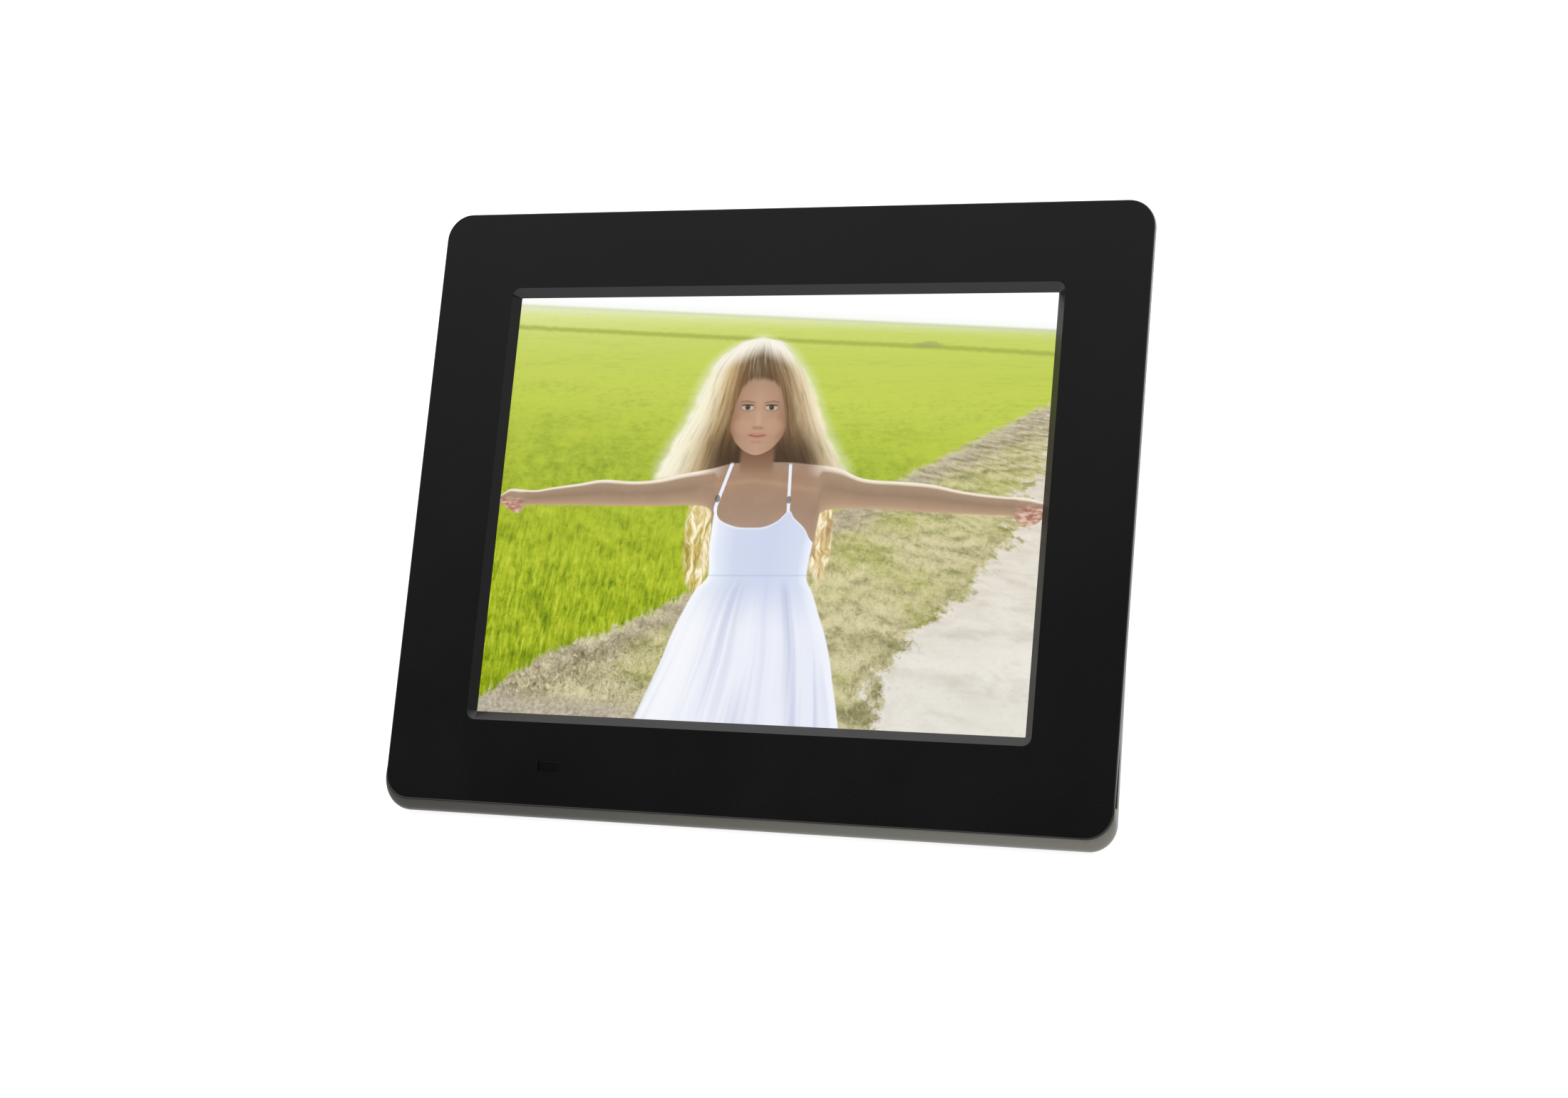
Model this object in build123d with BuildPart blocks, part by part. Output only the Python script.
"""Digital photo frame: an 8 inch 4:3 display behind a flat black fascia, standing on its base and a fold-out leg.

The frame leans back by LEAN degrees. Everything in it is drawn on planes parallel to the fascia, where local x runs
to the viewer's right, local y runs up the fascia from its bottom edge, and a depth is measured behind its front face.
"""

import os
from math import cos, radians, sin, tan

from build123d import *

os.makedirs("parts", exist_ok=True)

# ---------------------------------------------------------------- driving dimensions, in millimetres and degrees
LEAN = 14.4  # how far the fascia leans back
LEG_TILT = 12.0  # how far the open leg leans the other way

FASCIA_W, FASCIA_H, FASCIA_T = 213.5, 172.7, 2.0
FASCIA_R = 7.6
MIDDLE_Y = FASCIA_H / 2
SCREEN_W, SCREEN_H = 162.0, 121.5  # visible picture, 8 inch diagonal at 4:3
SCREEN_Y = MIDDLE_Y + 0.4
BEVEL_W, BEVEL_H, BEVEL_R = 166.5, 126.6, 2.6  # outer edge of the sloping surround
FIT = 0.05  # gap round parts that are set into one another
TOUCH = 0.02  # gap between faces that rest on one another

LIP_TOP = 8.5  # how far up the fascia's sides the cover's lip reaches
LIP_DEPTH = 0.3  # the cover's lip starts this far behind the fascia's front
RIM_DEPTH, BACK_DEPTH = 4.0, 20.0
CHIN = 2.95  # how far the cover hangs below the fascia
RIM_HALF_BASE, RIM_HALF_TOP, RIM_TOP, RIM_R = 107.2, 104.0, 171.2, 7.4
BACK_R = 4.0
TAPER = 0.75  # how much the cover draws in per unit of depth
WALL = 2.0
PAD_PROUD, PAD_T = 0.4, 1.2

LCD_W, LCD_H = 183.0, 141.0
LCD_FRONT, LCD_BACK = 2.5, 8.2
SHEET = 0.3  # pressed steel of the display's frame

IR_X, IR_Y = -55.9, 11.35
IR_W, IR_H = 6.4, 3.1

BOARD_FRONT, BOARD_BACK = 10.2, 11.8
BOARD_X, BOARD_Y, BOARD_W, BOARD_H = -62.0, 88.5, 55.0, 85.0

BAY_X, BAY_BOTTOM, BAY_TOP, BAY_FLOOR = -92.0, 46.0, 120.0, 10.2
CARD_Y, MINI_Y, USB_Y, JACK_Y = 103.0, 84.0, 70.0, 54.5
CARD_W, CARD_T = 24.6, 2.6
USB_W, USB_T = 13.1, 5.7
MINI_W, MINI_T = 7.7, 3.9
JACK_W, JACK_T, JACK_R = 7.6, 6.0, 2.0

KEY_X, PAD_Y, POWER_Y, MENU_Y = 62.0, 106.0, 132.0, 80.0
KEY_REACH, KEY_SPREAD = 11.5, 8.0
KEY_PROUD, KEY_GAP, FLANGE_T, KEY_TRAVEL = 0.8, 0.3, 0.8, 0.4
KEY_BOARD_FRONT, KEY_BOARD_BACK = 11.5, 12.7
SWITCH_TOP = 16.1

SPEAKER_X, SPEAKER_Y, SPEAKER_R = 60.0, 28.0, 14.0

HINGE_Y, HINGE_DEPTH = 112.0, 17.4
PIN_R, PIN_HALF, BARREL_R = 1.25, 33.0, 2.6
RECESS_HALF, RECESS_TOP, RECESS_FLOOR = 30.0, 117.0, 14.4
LEG_T, LEG_HALF_TOP, LEG_HALF_FOOT, HEEL = 4.4, 28.8, 22.0, 2.25
FOOT_PAD = 1.6

KEYHOLE_X, KEYHOLE_Y, KEYHOLE_R, SLOT_R, SLOT_RUN = 80.0, 146.0, 4.25, 2.1, 7.5
SCREW_HEAD_R, SCREW_HEAD_T, SCREW_R = 2.3, 1.5, 1.2
SEAT_DEPTH, BOSS_R, BOSS_DEPTH = 9.0, 2.9, 7.4
SCREW_PLACES = ((-80, 7.5), (80, 7.5), (-80, 163.5), (0, 163.5), (80, 163.5))
BOARD_SCREWS = ((-86, 124.5), (-38, 116), (-72, 49.5), (-38, 50))
KEY_SCREWS = ((48.8, 73.2), (75.2, 136.0))

# ---------------------------------------------------------------- frame of reference
SIN, COS = sin(radians(LEAN)), cos(radians(LEAN))
RISE = tan(radians(LEAN))  # the level underside rises this much in local y per unit of depth
LIFT = CHIN * COS + RIM_DEPTH * SIN + PAD_PROUD  # height of the fascia's bottom edge above the table
HINGE_Z = HINGE_Y * COS - HINGE_DEPTH * SIN + LIFT
HINGE_BEHIND = HINGE_Y * SIN + HINGE_DEPTH * COS
TILT_SIN, TILT_COS = sin(radians(LEG_TILT)), cos(radians(LEG_TILT))
FOOT_BEHIND = HINGE_BEHIND + (HINGE_Z * TILT_SIN + LEG_T / 2) / TILT_COS

front = Plane(origin=(0, -FOOT_BEHIND / 2, LIFT), x_dir=(1, 0, 0), z_dir=(0, -COS, SIN))
toward_viewer = Axis(front.origin, front.z_dir)
leg_plane = Plane(
    origin=(0, HINGE_BEHIND - FOOT_BEHIND / 2, HINGE_Z),
    x_dir=(1, 0, 0),
    z_dir=(0, TILT_COS, TILT_SIN),
)  # local y runs down the open leg, local z out of its rear face


def behind(depth):
    """The plane parallel to the fascia, that far behind its front face."""
    return front.offset(-depth)


def finish(builder, name):
    """Labels a finished sub-part and writes its STEP file."""
    builder.part.label = name
    export_step(builder.part, f"parts/{name}.step")


def plate(width, height, start, end, centre=(0, MIDDLE_Y), radius=0.0, mode=Mode.ADD):
    """A flat block between two depths, added to or cut from the part being built."""
    with BuildSketch(behind(start)) as outline:
        with Locations(centre):
            if radius:
                RectangleRounded(width, height, radius)
            else:
                Rectangle(width, height)
    extrude(outline.sketch, amount=start - end, mode=mode)


def post(places, radius, start, end, mode=Mode.ADD):
    """Round posts or holes between two depths, one at each place."""
    with BuildSketch(behind(start)) as outline:
        with Locations(*places):
            Circle(radius)
    extrude(outline.sketch, amount=start - end, mode=mode)


def rod(centre_y, depth, radius, x_from, x_to, mode=Mode.ADD):
    """A round bar or hole that runs across the frame, along x."""
    start = front.from_local_coords(Vector(x_from, centre_y, -depth))
    with BuildSketch(Plane(origin=start, x_dir=front.y_dir, z_dir=(1, 0, 0))) as outline:
        Circle(radius)
    extrude(outline.sketch, amount=x_to - x_from, mode=mode)


def cover_outline(depth, bottom, half_base, half_top, top, radius):
    """The cover's outline at one depth: a little narrower at the top than at the base."""
    with BuildSketch(behind(depth)) as outline:
        with BuildLine():
            Polyline((-half_base, bottom), (half_base, bottom), (half_top, top), (-half_top, top), close=True)
        make_face()
        fillet(outline.vertices(), radius)
    return outline.sketch


def shell_section(depth, inset=0.0):
    """The cover's outline behind its rim, drawn in by the taper and standing on a level underside."""
    run = depth - RIM_DEPTH
    draw_in = TAPER * run + inset
    return cover_outline(
        depth,
        bottom=-CHIN + RISE * run + inset,
        half_base=RIM_HALF_BASE - draw_in,
        half_top=RIM_HALF_TOP - draw_in,
        top=RIM_TOP - draw_in,
        radius=RIM_R - inset,
    )


# ---------------------------------------------------------------- front: fascia with its sloping surround
with BuildPart() as fascia:
    plate(FASCIA_W, FASCIA_H, 0, FASCIA_T, radius=FASCIA_R)
    chamfer(fascia.edges().group_by(toward_viewer)[-1], 0.25)
    with BuildSketch(front) as window_front:
        with Locations((0, SCREEN_Y)):
            RectangleRounded(BEVEL_W, BEVEL_H, BEVEL_R)
    with BuildSketch(behind(FASCIA_T)) as window_back:
        with Locations((0, SCREEN_Y)):
            RectangleRounded(SCREEN_W, SCREEN_H, FIT * 6)
    loft([window_front.sketch, window_back.sketch], mode=Mode.SUBTRACT)
    plate(IR_W, IR_H, 0, FASCIA_T, centre=(IR_X, IR_Y), radius=0.4, mode=Mode.SUBTRACT)
    # screw bosses that the cover is drawn down on to
    post(SCREW_PLACES, BOSS_R, FASCIA_T, BOSS_DEPTH)
    post(SCREW_PLACES, SCREW_R, 3.2, BOSS_DEPTH, mode=Mode.SUBTRACT)
    # two pegs that carry the receiver's small board
    post(((IR_X - 7.5, IR_Y), (IR_X + 7.5, IR_Y)), 1.4, FASCIA_T, 7.0)
finish(fascia, "front_fascia")

with BuildPart() as ir_window:
    plate(IR_W - 0.1, IR_H - 0.1, 0.35, FASCIA_T + FIT, centre=(IR_X, IR_Y), radius=0.35)
    plate(IR_W + 3, IR_H + 3, FASCIA_T + FIT, FASCIA_T + 0.6, centre=(IR_X, IR_Y), radius=1.0)
finish(ir_window, "ir_window")

with BuildPart() as gasket:
    plate(LCD_W - 3, LCD_H - 3, FASCIA_T, LCD_FRONT, centre=(0, SCREEN_Y))
    plate(SCREEN_W + 7, SCREEN_H + 7, FASCIA_T, LCD_FRONT, centre=(0, SCREEN_Y), mode=Mode.SUBTRACT)
finish(gasket, "screen_gasket")

# ---------------------------------------------------------------- display module, a stack held in a steel frame
with BuildPart() as lcd_frame:
    plate(LCD_W, LCD_H, LCD_FRONT, LCD_BACK - 0.6, centre=(0, SCREEN_Y), radius=1.0)
    plate(
        LCD_W - 2 * SHEET,
        LCD_H - 2 * SHEET,
        LCD_FRONT + SHEET,
        LCD_BACK,
        centre=(0, SCREEN_Y),
        radius=0.7,
        mode=Mode.SUBTRACT,
    )
    plate(SCREEN_W + 2.6, SCREEN_H + 2.6, 0, LCD_BACK, centre=(0, SCREEN_Y), mode=Mode.SUBTRACT)
finish(lcd_frame, "lcd_steel_frame")


def layer(name, width, height, start, end):
    """One flat layer of the display module."""
    with BuildPart() as sheet:
        plate(width, height, start, end, centre=(0, SCREEN_Y))
    finish(sheet, name)


layer("lcd_panel", LCD_W - 11, LCD_H - 9, 2.85, 4.2)
layer("lcd_diffuser_films", LCD_W - 12, LCD_H - 10, 4.25, 4.75)
layer("lcd_reflector_film", LCD_W - 12, LCD_H - 10, 7.05, 7.25)

with BuildPart() as light_guide:
    plate(LCD_W - 12, LCD_H - 15, 4.8, 7.0, centre=(0, SCREEN_Y + 2.5))
finish(light_guide, "lcd_light_guide")

LED_Y = SCREEN_Y - LCD_H / 2 + 3.6
with BuildPart() as led_strip:
    plate(LCD_W - 20, 1.0, 4.9, 6.9, centre=(0, LED_Y))
    with BuildSketch(behind(5.2)) as lamps:
        with Locations((0, LED_Y + 1.3)):
            with GridLocations(9.5, 1, 16, 1):
                Rectangle(3.2, 1.6)
    extrude(lamps.sketch, amount=-1.4)
finish(led_strip, "lcd_led_strip")

with BuildPart() as lcd_tray:
    plate(LCD_W - 2, LCD_H - 2, 7.3, LCD_BACK, centre=(0, SCREEN_Y), radius=1.0)
    for stiffener in (-40, 40):
        plate(3, LCD_H - 30, LCD_BACK, LCD_BACK + 0.4, centre=(stiffener, SCREEN_Y), radius=1.0)
finish(lcd_tray, "lcd_back_tray")

# ---------------------------------------------------------------- main board and what is soldered to it
with BuildPart() as main_board:
    plate(BOARD_W, BOARD_H, BOARD_FRONT, BOARD_BACK, centre=(BOARD_X, BOARD_Y), radius=1.0)
    post(BOARD_SCREWS, SCREW_R + 0.3, BOARD_FRONT, BOARD_BACK, mode=Mode.SUBTRACT)
finish(main_board, "main_board")

with BuildPart() as processor:
    plate(16, 16, BOARD_BACK, BOARD_BACK + 1.5, centre=(-54, 92), radius=0.5)
    chamfer(processor.edges().group_by(toward_viewer)[0], 0.2)
finish(processor, "processor_chip")

with BuildPart() as memory_chips:
    for row in (76, 110):
        plate(18, 8, BOARD_BACK, BOARD_BACK + 1.1, centre=(-54, row), radius=0.3)
finish(memory_chips, "memory_chips")

with BuildPart() as coils:
    for row in (56, 64):
        plate(6, 6, BOARD_BACK, BOARD_BACK + 2.8, centre=(-64, row), radius=1.5)
finish(coils, "power_coils")

with BuildPart() as capacitors:
    post(((-55, 54), (-55, 63), (-47, 54)), 2.5, BOARD_BACK, BOARD_BACK + 5.4)
finish(capacitors, "capacitors")

RIBBON_Y, RIBBON_DEPTH = 125.5, 13.2
with BuildPart() as headers:
    plate(4.5, 10, BOARD_BACK, RIBBON_DEPTH, centre=(-38, RIBBON_Y))
    plate(4.5, 10, KEY_BOARD_BACK, RIBBON_DEPTH, centre=(49, RIBBON_Y))
finish(headers, "ribbon_headers")

with BuildPart() as ribbon:
    plate(90, 8, RIBBON_DEPTH, RIBBON_DEPTH + 0.5, centre=(5.5, RIBBON_Y))
finish(ribbon, "key_ribbon")

# the display's flat cable folds round the main board's inner edge
with BuildPart() as lcd_flex:
    plate(9.0, 24, LCD_BACK + 0.05, LCD_BACK + 0.35, centre=(-29, 66))
    plate(0.3, 24, LCD_BACK + 0.35, 12.0, centre=(-33.35, 66))
    plate(6.0, 24, 12.0, 12.3, centre=(-36.2, 66))
finish(lcd_flex, "lcd_flat_cable")


# ---------------------------------------------------------------- sockets along the side bay
def socket_shell(name, width, thickness, wall, length, centre_y, extra=0.0):
    """A folded metal socket shell, open at the side of the frame, sitting on the main board."""
    x_mouth = BAY_X + 0.5
    middle_x = x_mouth + length / 2
    with BuildPart() as shell:
        plate(length, width, BOARD_BACK, BOARD_BACK + thickness, centre=(middle_x, centre_y))
        plate(
            length,
            width - 2 * wall,
            BOARD_BACK + wall,
            BOARD_BACK + thickness - wall,
            centre=(middle_x - 1.2 - extra, centre_y),
            mode=Mode.SUBTRACT,
        )
    finish(shell, name)


# the frame's side wall keeps the mouths clear of the board's edge
socket_shell("card_socket", CARD_W + 1.6, CARD_T + 0.6, 0.35, 26.0, CARD_Y)
socket_shell("usb_socket_shell", USB_W, USB_T, 0.35, 14.0, USB_Y)
socket_shell("mini_usb_socket", MINI_W, MINI_T, 0.35, 9.0, MINI_Y)

with BuildPart() as usb_tongue:
    plate(10.5, 11.2, BOARD_BACK + 3.0, BOARD_BACK + 4.8, centre=(BAY_X + 6.75 + 1.3, USB_Y))
finish(usb_tongue, "usb_tongue")

JACK_DEPTH = BOARD_BACK + JACK_T / 2
with BuildPart() as dc_jack:
    plate(12.0, JACK_W, BOARD_BACK, BOARD_BACK + JACK_T, centre=(BAY_X + 6.5, JACK_Y), radius=0.4)
    rod(JACK_Y, JACK_DEPTH, JACK_R, BAY_X, BAY_X + 10.5, mode=Mode.SUBTRACT)
finish(dc_jack, "dc_jack")

with BuildPart() as dc_pin:
    rod(JACK_Y, JACK_DEPTH, 0.65, BAY_X + 1.6, BAY_X + 10.5)
finish(dc_pin, "dc_jack_pin")

# ---------------------------------------------------------------- key board and its switches
KEYS = {
    "key_power": (KEY_X, POWER_Y, 4.5),
    "key_up": (KEY_X, PAD_Y + KEY_REACH, 3.6),
    "key_down": (KEY_X, PAD_Y - KEY_REACH, 3.6),
    "key_left": (KEY_X - KEY_REACH, PAD_Y, 3.6),
    "key_right": (KEY_X + KEY_REACH, PAD_Y, 3.6),
    "key_enter": (KEY_X, PAD_Y, 4.0),
    "key_menu": (KEY_X - KEY_SPREAD, MENU_Y, 4.0),
    "key_back": (KEY_X + KEY_SPREAD, MENU_Y, 4.0),
}
KEY_PLACES = tuple((x, y) for x, y, radius in KEYS.values())

with BuildPart() as key_board:
    plate(33, 68, KEY_BOARD_FRONT, KEY_BOARD_BACK, centre=(KEY_X, 104.5), radius=1.0)
    post(KEY_SCREWS, SCREW_R + 0.3, KEY_BOARD_FRONT, KEY_BOARD_BACK, mode=Mode.SUBTRACT)
finish(key_board, "key_board")

with BuildPart() as switches:
    for place in KEY_PLACES:
        plate(6, 6, KEY_BOARD_BACK, SWITCH_TOP - 0.8, centre=place, radius=0.4)
    post(KEY_PLACES, 1.6, SWITCH_TOP - 0.8, SWITCH_TOP)
finish(switches, "key_switches")

for key_name, (key_x, key_y, key_radius) in KEYS.items():
    with BuildPart() as key:
        post(((key_x, key_y),), key_radius, BACK_DEPTH - WALL - TOUCH, BACK_DEPTH + KEY_PROUD)
        fillet(key.edges().group_by(toward_viewer)[0], 0.35)
        # the flange stops against the inside of the cover; the stem below it meets the switch
        post(((key_x, key_y),), key_radius + 1.0, BACK_DEPTH - WALL - TOUCH - FLANGE_T, BACK_DEPTH - WALL - TOUCH)
        post(((key_x, key_y),), 1.4, SWITCH_TOP + KEY_TRAVEL + 0.1, BACK_DEPTH - WALL - FLANGE_T)
    finish(key, key_name)

# ---------------------------------------------------------------- receiver and speakers
with BuildPart() as ir_board:
    plate(19, 8, 7.0, 8.0, centre=(IR_X, IR_Y - 1.2), radius=0.5)
finish(ir_board, "ir_board")

with BuildPart() as ir_receiver:
    plate(6.0, 5.4, 4.6, 7.0, centre=(IR_X, IR_Y), radius=0.4)
    post(((IR_X, IR_Y),), 2.2, 3.2, 4.6)
    fillet(ir_receiver.edges().group_by(toward_viewer)[-1], 0.9)
finish(ir_receiver, "ir_receiver")

# a flat lead runs up to the main board, with a plug at each end
LEAD_X = -50.0
with BuildPart() as ir_lead:
    plate(5, 42, 8.9, 9.4, centre=(LEAD_X, 30))
    plate(5, 4, 8.0, 8.9, centre=(LEAD_X, 11))
    plate(5, 4, 9.4, BOARD_FRONT, centre=(LEAD_X, 49))
finish(ir_lead, "ir_lead")

for side_name, side_sign in (("left", -1), ("right", 1)):
    place = (side_sign * SPEAKER_X, SPEAKER_Y)
    with BuildPart() as basket:
        post((place,), SPEAKER_R, 15.2, BACK_DEPTH - WALL)
        post((place,), 12.4, 16.0, BACK_DEPTH - WALL, mode=Mode.SUBTRACT)
        post((place,), 8.0, 11.0, 15.2)
        post((place,), 5.0, 11.0, 16.0, mode=Mode.SUBTRACT)
        post((place,), 8.0, 10.2, 11.0)
    finish(basket, f"speaker_{side_name}")
    with BuildPart() as cone:
        with BuildSketch(behind(16.0)) as cone_throat:
            with Locations(place):
                Circle(5.0)
        with BuildSketch(behind(17.4)) as cone_mouth:
            with Locations(place):
                Circle(12.0)
        loft([cone_throat.sketch, cone_mouth.sketch])
        post((place,), 4.7, 13.0, 16.0)
    finish(cone, f"speaker_cone_{side_name}")

# ---------------------------------------------------------------- rear cover
with BuildPart() as outer:
    loft(
        [
            cover_outline(LIP_DEPTH, -0.2, 107.0, 103.6, RIM_TOP - 0.4, RIM_R),
            cover_outline(1.2, -2.15, 107.25, 103.9, RIM_TOP - 0.2, RIM_R),
            cover_outline(2.2, -2.75, RIM_HALF_BASE + 0.1, RIM_HALF_TOP, RIM_TOP, RIM_R),
            shell_section(RIM_DEPTH),
        ]
    )
    loft([shell_section(RIM_DEPTH), shell_section(BACK_DEPTH)], ruled=True)
    fillet(outer.edges().group_by(toward_viewer)[0], BACK_R)

with BuildPart() as hollow:
    loft([shell_section(RIM_DEPTH, WALL), shell_section(BACK_DEPTH - WALL, WALL)], ruled=True)
    loft([cover_outline(FASCIA_T, 1.3, 104.6, 101.4, RIM_TOP - WALL, RIM_R - WALL), shell_section(RIM_DEPTH, WALL)])
    # walls of the recess that the leg folds into, and of the side bay
    plate(
        2 * (RECESS_HALF + WALL),
        2 * (RECESS_TOP + WALL),
        RECESS_FLOOR - 1.6,
        BACK_DEPTH,
        centre=(0, 0),
        mode=Mode.SUBTRACT,
    )
    plate(
        2 * 20,
        BAY_TOP - BAY_BOTTOM + 2 * WALL,
        BAY_FLOOR - 1.6,
        BACK_DEPTH,
        centre=(BAY_X + WALL - 20, (BAY_TOP + BAY_BOTTOM) / 2),
        mode=Mode.SUBTRACT,
    )
    # wells for the cover screws
    post(SCREW_PLACES, SCREW_HEAD_R + 0.4 + 1.5, BOSS_DEPTH + TOUCH, BACK_DEPTH, mode=Mode.SUBTRACT)
    # posts for the two boards
    post(BOARD_SCREWS, 2.6, BOARD_BACK, BACK_DEPTH, mode=Mode.SUBTRACT)
    post(KEY_SCREWS, 2.6, KEY_BOARD_BACK, BACK_DEPTH, mode=Mode.SUBTRACT)
    # boxes behind the keyholes, so that a nail cannot reach the electronics
    for hang_side in (-1, 1):
        hang_place = (hang_side * KEYHOLE_X, KEYHOLE_Y + SLOT_RUN / 2)
        plate(13, 21, 13.0, BACK_DEPTH, centre=hang_place, radius=2.0, mode=Mode.SUBTRACT)
    # bosses round the ends of the hinge pin
    for pin_side in (-1, 1):
        boss_x = pin_side * (RECESS_HALF + WALL + 1.0)
        plate(3.0, 9.0, RECESS_FLOOR - 1.6, BACK_DEPTH, centre=(boss_x, HINGE_Y), mode=Mode.SUBTRACT)
    # ribs that hold the display module down from behind
    for rib_x in (-12, 12):
        plate(2.0, 90.0, LCD_BACK + 0.5, BACK_DEPTH, centre=(rib_x, SCREEN_Y - 12), mode=Mode.SUBTRACT)

with BuildPart() as cover:
    add(outer.part)
    add(hollow.part, mode=Mode.SUBTRACT)
    # seat of the fascia, inside the lip
    plate(FASCIA_W + 2 * FIT, FASCIA_H + 2 * FIT, 0, FASCIA_T, radius=FASCIA_R + FIT, mode=Mode.SUBTRACT)
    # the lip holds the fascia's bottom edge and corners only; above them the fascia overhangs the cover
    plate(2 * FASCIA_W, FASCIA_H, 0, FASCIA_T, centre=(0, LIP_TOP + MIDDLE_Y), mode=Mode.SUBTRACT)
    # recess for the leg, open at the bottom
    plate(2 * RECESS_HALF, 2 * RECESS_TOP, RECESS_FLOOR, BACK_DEPTH + 1, centre=(0, 0), mode=Mode.SUBTRACT)
    rod(HINGE_Y, HINGE_DEPTH, PIN_R, -PIN_HALF, PIN_HALF, mode=Mode.SUBTRACT)
    # bay for the sockets, open at the side
    plate(
        2 * 20,
        BAY_TOP - BAY_BOTTOM,
        BAY_FLOOR,
        BACK_DEPTH + 1,
        centre=(BAY_X - 20, (BAY_TOP + BAY_BOTTOM) / 2),
        mode=Mode.SUBTRACT,
    )
    for mouth_y, mouth_w, mouth_t in (
        (CARD_Y, CARD_W + 1.6, CARD_T + 0.6),
        (USB_Y, USB_W, USB_T),
        (MINI_Y, MINI_W, MINI_T),
        (JACK_Y, JACK_W, JACK_T),
    ):
        plate(
            2 * WALL,
            mouth_w + 0.4,
            BOARD_BACK - 0.2,
            BOARD_BACK + mouth_t + 0.2,
            centre=(BAY_X + WALL, mouth_y),
            mode=Mode.SUBTRACT,
        )
    # screw wells and their clearance holes
    post(SCREW_PLACES, SCREW_HEAD_R + 0.4, SEAT_DEPTH, BACK_DEPTH + 1, mode=Mode.SUBTRACT)
    post(SCREW_PLACES, SCREW_R + 0.3, BOSS_DEPTH - 1, SEAT_DEPTH, mode=Mode.SUBTRACT)
    post(BOARD_SCREWS, SCREW_R, BOARD_BACK, BOARD_BACK + 4.2, mode=Mode.SUBTRACT)
    post(KEY_SCREWS, SCREW_R, KEY_BOARD_BACK, KEY_BOARD_BACK + 4.2, mode=Mode.SUBTRACT)
    # holes for the keys, set in a shallow dish
    for key_x, key_y, key_radius in KEYS.values():
        post(((key_x, key_y),), key_radius + KEY_GAP, BACK_DEPTH - WALL - 1, BACK_DEPTH + 1, mode=Mode.SUBTRACT)
    # keyholes for hanging on two nails
    for hang_side in (-1, 1):
        nail_x = hang_side * KEYHOLE_X
        plate(
            10, 18, 14.4, BACK_DEPTH - WALL, centre=(nail_x, KEYHOLE_Y + SLOT_RUN / 2), radius=1.5, mode=Mode.SUBTRACT
        )
        post(((nail_x, KEYHOLE_Y),), KEYHOLE_R, BACK_DEPTH - WALL, BACK_DEPTH + 1, mode=Mode.SUBTRACT)
        post(((nail_x, KEYHOLE_Y + SLOT_RUN),), SLOT_R, BACK_DEPTH - WALL, BACK_DEPTH + 1, mode=Mode.SUBTRACT)
        plate(
            2 * SLOT_R,
            SLOT_RUN,
            BACK_DEPTH - WALL,
            BACK_DEPTH + 1,
            centre=(nail_x, KEYHOLE_Y + SLOT_RUN / 2),
            mode=Mode.SUBTRACT,
        )
    # cooling slots above the leg
    with BuildSketch(behind(BACK_DEPTH + 1)) as vents:
        with Locations((0, 138)):
            with GridLocations(6.5, 1, 13, 1):
                SlotOverall(20, 2.2, rotation=90)
    extrude(vents.sketch, amount=1 + WALL + 1, mode=Mode.SUBTRACT)
    # speaker grilles
    with BuildSketch(behind(BACK_DEPTH + 1)) as grilles:
        with Locations((-SPEAKER_X, SPEAKER_Y), (SPEAKER_X, SPEAKER_Y)):
            Circle(0.9)
            for ring in (1, 2):
                with PolarLocations(3.9 * ring, 6 * ring):
                    Circle(0.9)
    extrude(grilles.sketch, amount=1 + WALL, mode=Mode.SUBTRACT)
    # seats for the base pads, in the level underside
    with BuildSketch(Plane.XY.offset(PAD_PROUD)) as pad_seats:
        with Locations((-68, front.origin.Y + 11), (68, front.origin.Y + 11)):
            RectangleRounded(18.2, 7.2, 2.1)
    extrude(pad_seats.sketch, amount=PAD_T - PAD_PROUD, mode=Mode.SUBTRACT)
finish(cover, "rear_cover")

with BuildPart() as base_pads:
    with BuildSketch(Plane.XY) as pad_outline:
        with Locations((-68, front.origin.Y + 11), (68, front.origin.Y + 11)):
            RectangleRounded(18, 7, 2.0)
    extrude(pad_outline.sketch, amount=PAD_T)
    chamfer(base_pads.edges().group_by(Axis.Z)[0], 0.2)
finish(base_pads, "base_pads")


def screws(name, places, seat, tip):
    """Identical pan-head screws, heads towards the rear or the front, with a cross recess."""
    toward_rear = 1 if seat > tip else -1
    head_end = seat + toward_rear * SCREW_HEAD_T
    with BuildPart() as group:
        post(places, SCREW_HEAD_R, min(seat, head_end), max(seat, head_end))
        post(places, SCREW_R, min(seat, tip), max(seat, tip))
        with BuildSketch(behind(head_end)) as cross:
            with Locations(*places):
                Rectangle(2.6, 0.6)
                Rectangle(0.6, 2.6)
        extrude(cross.sketch, amount=toward_rear * 0.8, mode=Mode.SUBTRACT)
    finish(group, name)


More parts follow.
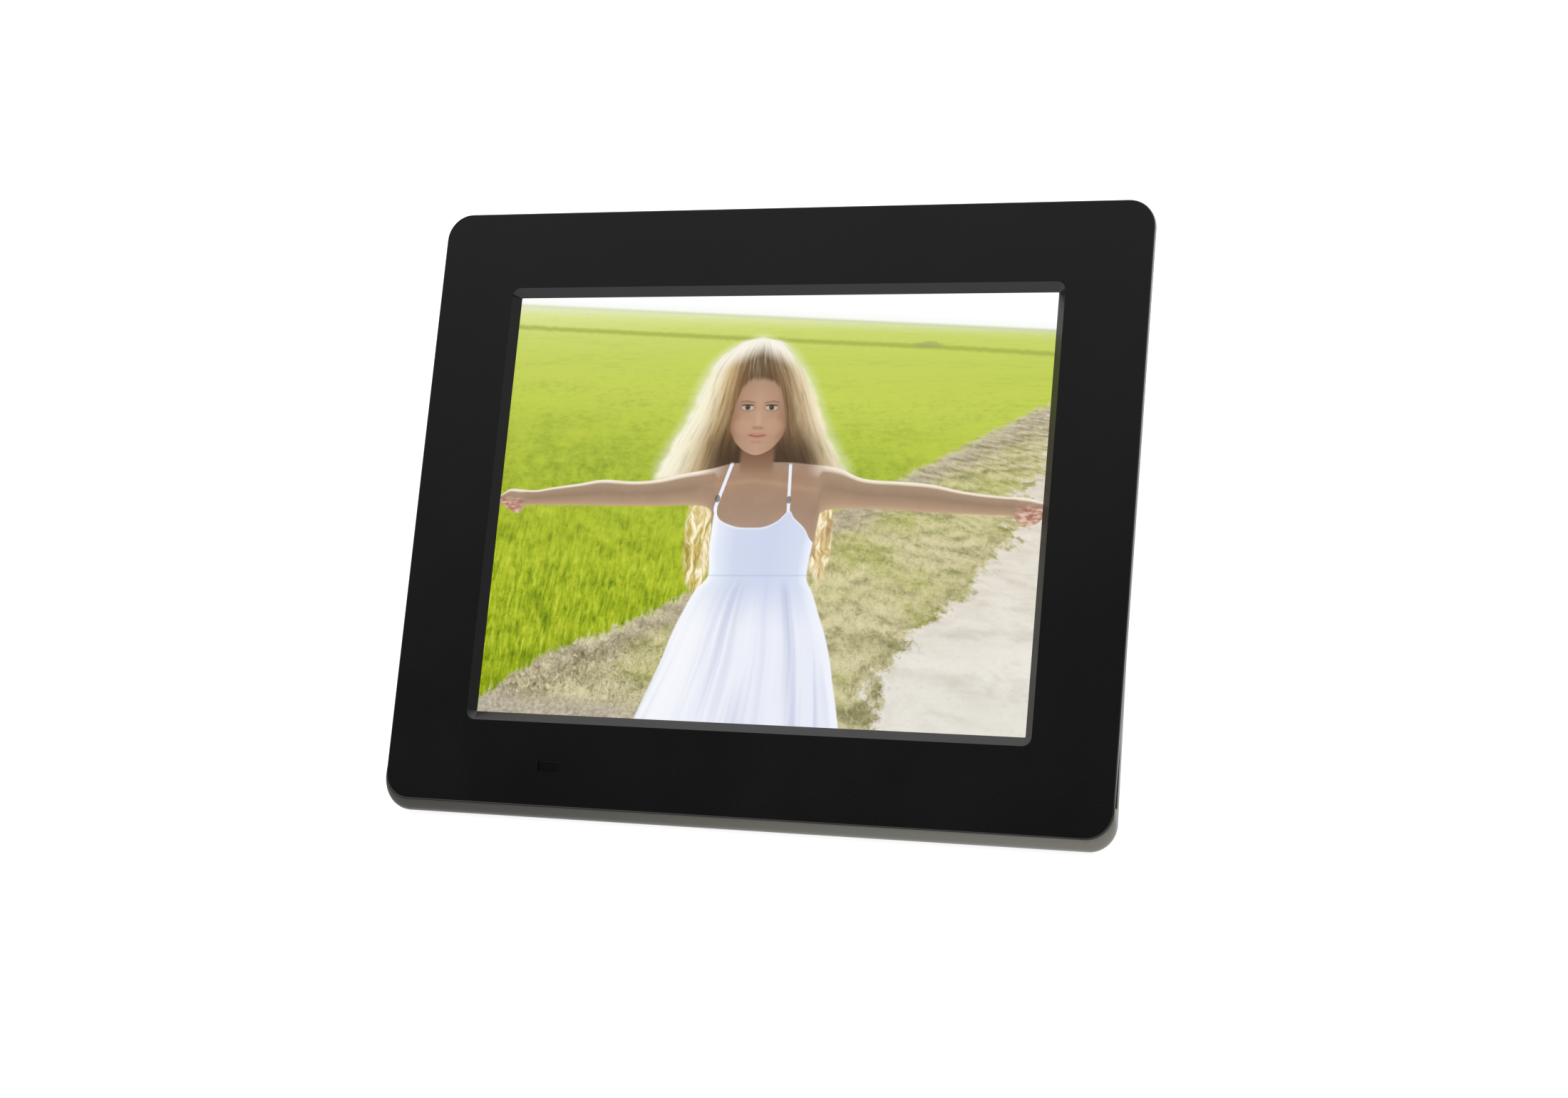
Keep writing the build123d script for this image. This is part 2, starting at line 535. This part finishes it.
screws("cover_screws", SCREW_PLACES, SEAT_DEPTH, 3.4)
screws("main_board_screws", BOARD_SCREWS, BOARD_FRONT, BOARD_BACK + 4.0)
screws("key_board_screws", KEY_SCREWS, KEY_BOARD_FRONT, KEY_BOARD_BACK + 4.0)


# ---------------------------------------------------------------- fold-out leg
def leg_blank(length):
    """The leg's flat plate, from its heel down past the table, in the open position."""
    with BuildSketch(leg_plane.offset(-LEG_T / 2)) as outline:
        with BuildLine():
            Polyline(
                (-LEG_HALF_TOP, -HEEL),
                (LEG_HALF_TOP, -HEEL),
                (LEG_HALF_TOP, 12),
                (LEG_HALF_FOOT, length),
                (-LEG_HALF_FOOT, length),
                (-LEG_HALF_TOP, 12),
                close=True,
            )
        make_face()
    extrude(outline.sketch, amount=LEG_T)


LEG_LENGTH = HINGE_Z / TILT_COS + 4
with BuildPart() as leg:
    leg_blank(LEG_LENGTH)
    # pockets in the inner face leave stiffening ribs
    with BuildSketch(leg_plane.offset(-LEG_T / 2)) as pockets:
        with Locations((0, 26), (0, 50), (0, 74)):
            with GridLocations(20.5, 1, 2, 1):
                RectangleRounded(17.5, 20, 1.5)
        with Locations((0, 94)):
            with GridLocations(19.5, 1, 2, 1):
                RectangleRounded(16.5, 13, 1.5)
    extrude(pockets.sketch, amount=2.6, mode=Mode.SUBTRACT)
    split(bisect_by=Plane.XY.offset(FOOT_PAD + TOUCH), keep=Keep.TOP)
    rod(HINGE_Y, HINGE_DEPTH, BARREL_R, -LEG_HALF_TOP, LEG_HALF_TOP)
    rod(HINGE_Y, HINGE_DEPTH, PIN_R + FIT, -LEG_HALF_TOP, LEG_HALF_TOP, mode=Mode.SUBTRACT)
finish(leg, "stand_leg")

with BuildPart() as foot_pad:
    leg_blank(LEG_LENGTH)
    split(bisect_by=Plane.XY.offset(FOOT_PAD), keep=Keep.BOTTOM)
    split(bisect_by=Plane.XY, keep=Keep.TOP)
finish(foot_pad, "leg_foot_pad")

with BuildPart() as pin:
    rod(HINGE_Y, HINGE_DEPTH, PIN_R, -PIN_HALF, PIN_HALF)
finish(pin, "hinge_pin")
